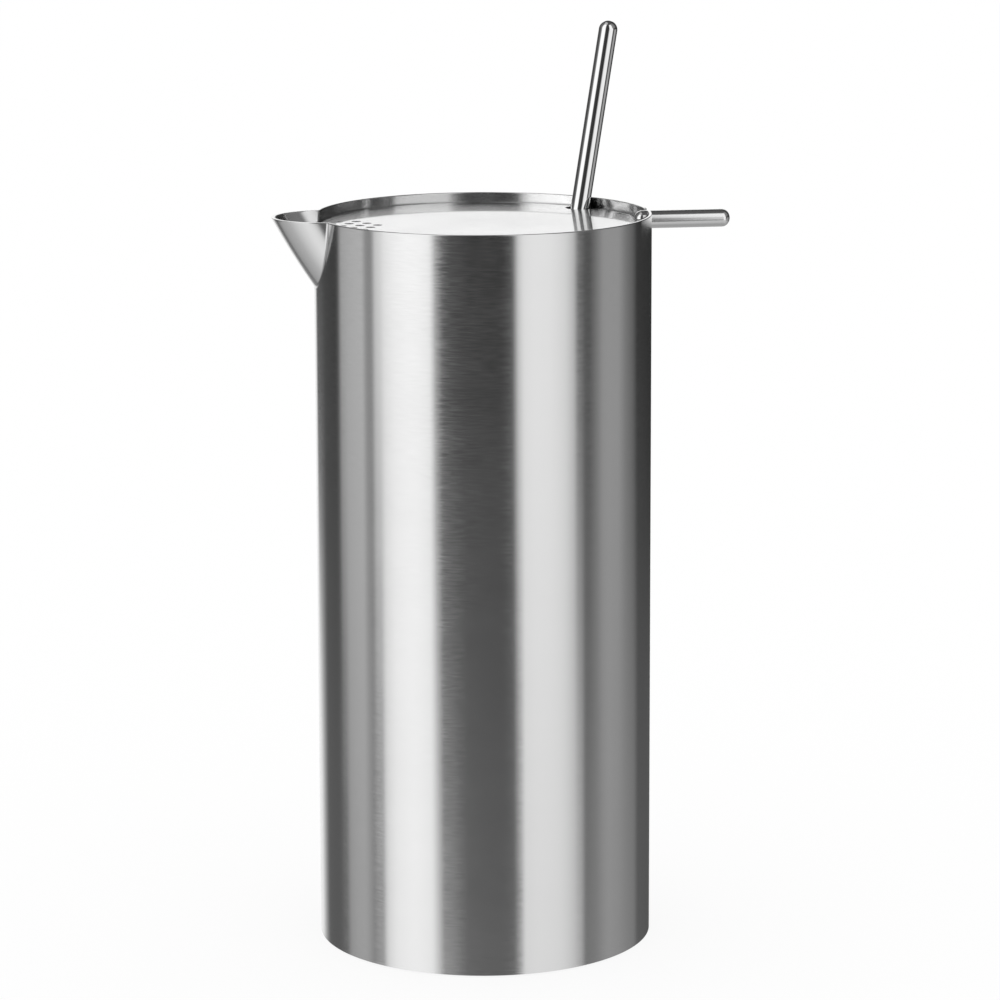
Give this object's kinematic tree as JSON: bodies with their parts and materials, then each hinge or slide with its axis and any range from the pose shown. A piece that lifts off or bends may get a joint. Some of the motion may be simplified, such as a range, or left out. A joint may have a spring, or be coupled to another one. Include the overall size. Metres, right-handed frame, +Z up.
{
  "type": "cocktail mixing pitcher",
  "caption": "Tall steel cylinder with a welded pouring spout at its rim, a sunken strainer lid lifted off by a rod, and a long mixing spoon standing in a notch of the lid.",
  "frame": {"origin": "centre of the base, on the plane that the pitcher stands on", "axes": "+Z up along the cylinder, +X towards the lid's lifting rod, and the spout towards -X"},
  "size_m": [0.1536, 0.112, 0.3045],
  "materials": {
    "wall_steel": "satin, brushed around the cylinder",
    "base_steel": "satin, spun",
    "spout_steel": "satin, smooth",
    "lid_steel": "polished nearly to a mirror",
    "handle_steel": "polished rod",
    "stem_steel": "polished rod",
    "bowl_steel": "polished"
  },
  "bodies": {
    "pitcher": {"body_wall": "wall_steel", "base_disc": "base_steel", "pouring_spout": "spout_steel"},
    "lid": {"lid_cap": "lid_steel", "lid_handle": "handle_steel"},
    "spoon": {"spoon_stem": "stem_steel", "spoon_bowl": "bowl_steel"}
  },
  "joints": [
    {"name": "lid_lift", "type": "slide", "parent": "pitcher", "child": "lid", "axis": [0, 0, 1], "range_m": [0, 0.26]},
    {"name": "spoon_stir", "type": "hinge", "parent": "lid", "child": "spoon", "pos_m": [0.03846, 0.03285, 0.2417], "axis": [0, 0, 1], "range_deg": [-45, 45]}
  ]
}
